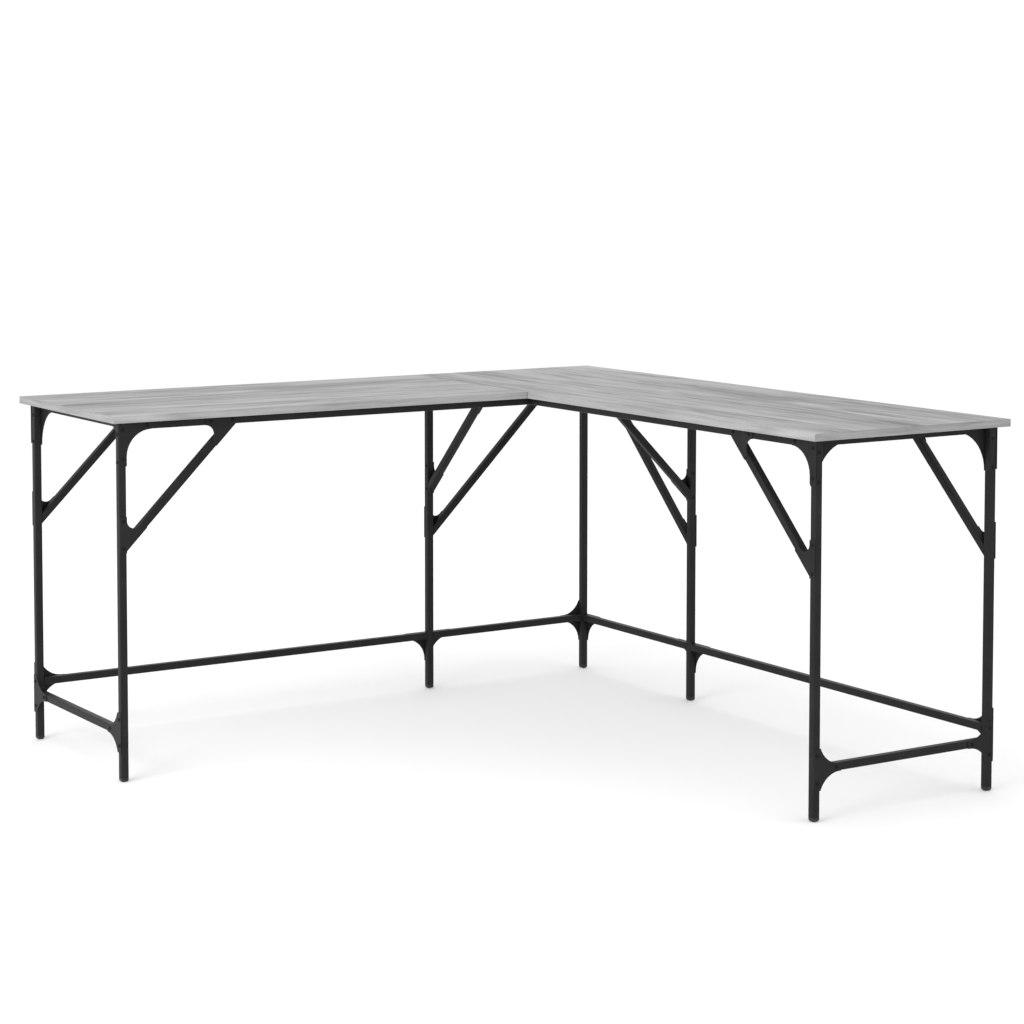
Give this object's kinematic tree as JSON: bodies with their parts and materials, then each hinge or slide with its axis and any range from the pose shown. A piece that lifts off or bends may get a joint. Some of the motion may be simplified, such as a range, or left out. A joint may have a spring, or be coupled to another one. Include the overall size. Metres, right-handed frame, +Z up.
{
  "type": "corner desk",
  "caption": "L-shaped corner desk with a two-board wood-look top on a slim black square-tube frame with diagonal braces, curved corner brackets and low stretchers.",
  "frame": {"origin": "on the floor, under the middle of the square that the two wings span", "axes": "+Z up; the left wing runs along X at the +Y side, the right wing along Y at the +X side, and the person sits at the open (-X, -Y) corner"},
  "size_m": [1.49, 1.49, 0.75],
  "materials": {
    "board": "laminated board with a grey oak grain, satin",
    "tube": "black powder coat, fine texture, satin",
    "bracket": "black powder coat on pressed plate, satin",
    "hardware": "zinc-plated plate, hidden under the top",
    "foot": "black moulded plastic"
  },
  "bodies": {
    "root": {"back_bracket_corner_left": "bracket", "back_bracket_corner_right": "bracket", "back_bracket_left_rear": "bracket", "back_bracket_right_rear": "bracket", "back_rail_corner_left": "tube", "back_rail_corner_right": "tube", "back_rail_left": "tube", "back_rail_right": "tube", "back_stretcher_corner_left": "tube", "back_stretcher_corner_right": "tube", "back_stretcher_left": "tube", "back_stretcher_right": "tube", "board_left": "board", "board_right": "board", "brace_corner_left": "tube", "brace_corner_right": "tube", "brace_cross_left": "tube", "brace_cross_right": "tube", "brace_left_front": "tube", "brace_left_rear": "tube", "brace_right_front": "tube", "brace_right_rear": "tube", "corner_cleat_left": "hardware", "corner_cleat_right": "hardware", "cross_rail": "tube", "end_bracket_left_front": "bracket", "end_bracket_left_rear": "bracket", "end_bracket_right_front": "bracket", "end_bracket_right_rear": "bracket", "end_rail_left": "tube", "end_rail_right": "tube", "end_stretcher_left": "tube", "end_stretcher_right": "tube", "foot_corner": "foot", "foot_left_front": "foot", "foot_left_rear": "foot", "foot_middle_left": "foot", "foot_middle_right": "foot", "foot_right_front": "foot", "foot_right_rear": "foot", "front_rail_left": "tube", "front_rail_right": "tube", "leg_corner": "tube", "leg_left_front": "tube", "leg_left_rear": "tube", "leg_middle_left": "tube", "leg_middle_right": "tube", "leg_right_front": "tube", "leg_right_rear": "tube", "seam_plate_front": "hardware", "seam_plate_rear": "hardware", "tee_bracket_left": "bracket", "tee_bracket_right": "bracket", "top_bracket_left_front": "bracket", "top_bracket_left_rear": "bracket", "top_bracket_right_front": "bracket", "top_bracket_right_rear": "bracket"}
  },
  "joints": []
}
